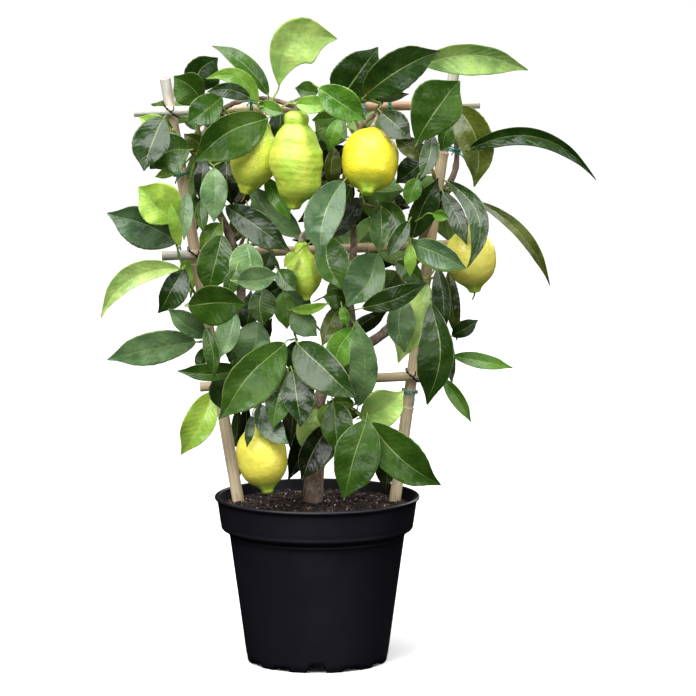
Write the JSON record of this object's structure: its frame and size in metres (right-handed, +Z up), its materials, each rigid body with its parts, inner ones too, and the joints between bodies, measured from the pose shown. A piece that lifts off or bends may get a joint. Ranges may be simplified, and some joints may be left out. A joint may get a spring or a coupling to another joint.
{
  "type": "potted lemon tree on a bamboo trellis",
  "caption": "Young fruiting lemon tree in a ribbed black nursery pot, its branches tied flat to a bamboo ladder trellis.",
  "frame": {"origin": "centre of the flat foot under the pot's floor, on the ground", "axes": "+Z up along the pot's axis; +X to the right as the tree is seen from its fruiting front; +Y away from the viewer, toward the trellis; the front faces -Y"},
  "size_m": [0.489, 0.2126, 0.646],
  "materials": {
    "pot_plastic": "satin",
    "potting_soil": "rough and crumbly",
    "bamboo": "weathered, dull",
    "lashing_wire": "dark, dull",
    "tie_plastic": "satin",
    "bark": "rough",
    "lemon_rind": "waxy, pitted",
    "leaves": "waxy, glossy"
  },
  "bodies": {
    "root": {"cane_left": "bamboo", "cane_right": "bamboo", "rail_top": "bamboo", "rail_middle": "bamboo", "rail_bottom": "bamboo", "lashing_top_left": "lashing_wire", "lashing_top_right": "lashing_wire", "lashing_middle_left": "lashing_wire", "lashing_middle_right": "lashing_wire", "lashing_bottom_left": "lashing_wire", "lashing_bottom_right": "lashing_wire", "tie_top_left": "tie_plastic", "tie_top_middle": "tie_plastic", "tie_top_right": "tie_plastic", "tie_left": "tie_plastic", "tie_right": "tie_plastic", "tie_right_low": "tie_plastic", "trunk_and_branches": "bark", "pot": "pot_plastic", "soil": "potting_soil", "lemon_1": "lemon_rind", "lemon_2": "lemon_rind", "lemon_3": "lemon_rind", "lemon_4": "lemon_rind", "lemon_5": "lemon_rind", "lemon_6": "lemon_rind", "shoot_crown_middle": "leaves", "shoot_corner": "leaves", "shoot_left_inner": "leaves", "shoot_low_right": "leaves", "shoot_top_right": "leaves", "shoot_top_middle": "leaves", "shoot_right_top": "leaves", "shoot_right_arch": "leaves", "shoot_right_low": "leaves", "shoot_right_side": "leaves", "shoot_crown_left": "leaves", "shoot_left_top": "leaves", "shoot_under_fruit": "leaves", "shoot_left_long": "leaves", "shoot_left_low": "leaves", "shoot_hanging": "leaves", "shoot_right_inner": "leaves", "shoot_low_middle": "leaves", "shoot_fruit_right": "leaves", "shoot_middle": "leaves", "shoot_middle_top": "leaves", "shoot_middle_low": "leaves", "rear_left_top": "leaves", "rear_top": "leaves", "rear_fruit": "leaves", "rear_right_top": "leaves", "rear_middle": "leaves", "rear_right": "leaves", "rear_left_low": "leaves", "rear_middle_low": "leaves", "rear_low": "leaves"}
  },
  "joints": []
}
